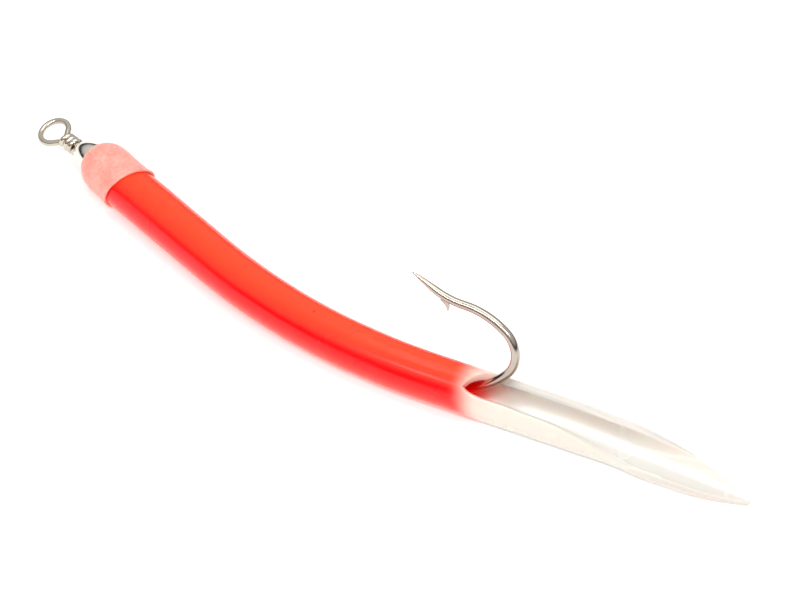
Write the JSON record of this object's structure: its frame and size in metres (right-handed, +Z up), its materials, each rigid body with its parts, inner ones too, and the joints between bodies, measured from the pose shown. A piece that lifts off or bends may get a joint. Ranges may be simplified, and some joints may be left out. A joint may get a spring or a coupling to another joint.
{
  "type": "soft plastic worm",
  "caption": "Soft tubing worm lure: a red tube that bends and opens into a white leaf tail, latex collar, barrel swivel at the head, long-shank barbed hook out of the back.",
  "frame": {"origin": "centre of the line eye at the lure's nose", "axes": "+X from the eye along the straight head of the tube towards the tail; the tube bends towards +Y; +Z is up as the lure lies on a table"},
  "size_m": [0.1795, 0.0494, 0.0268],
  "materials": {
    "soft_pvc": "gloss",
    "latex": "satin",
    "nickel": "gloss"
  },
  "bodies": {
    "lure_body": {"tube": "soft_pvc", "collar": "latex", "swivel_barrel": "nickel"},
    "line_end": {"front_eye": "nickel"},
    "hook_end": {"rear_eye": "nickel"},
    "hook": {"hook": "nickel"}
  },
  "joints": [
    {"name": "front_eye_spin", "type": "hinge", "parent": "lure_body", "child": "line_end", "pos_m": [0, 0, 0], "axis": [0.9942, 0, 0.108], "continuous": true},
    {"name": "rear_eye_spin", "type": "hinge", "parent": "lure_body", "child": "hook_end", "pos_m": [0.02797, 0, 0.00155], "axis": [0.9977, 0, -0.0681], "range_deg": [-1, 5]},
    {"name": "hook_swing", "type": "hinge", "parent": "hook_end", "child": "hook", "pos_m": [0.03026, 0, 0.0014], "axis": [0, -1, 0], "range_deg": [-0.3, 1]}
  ]
}
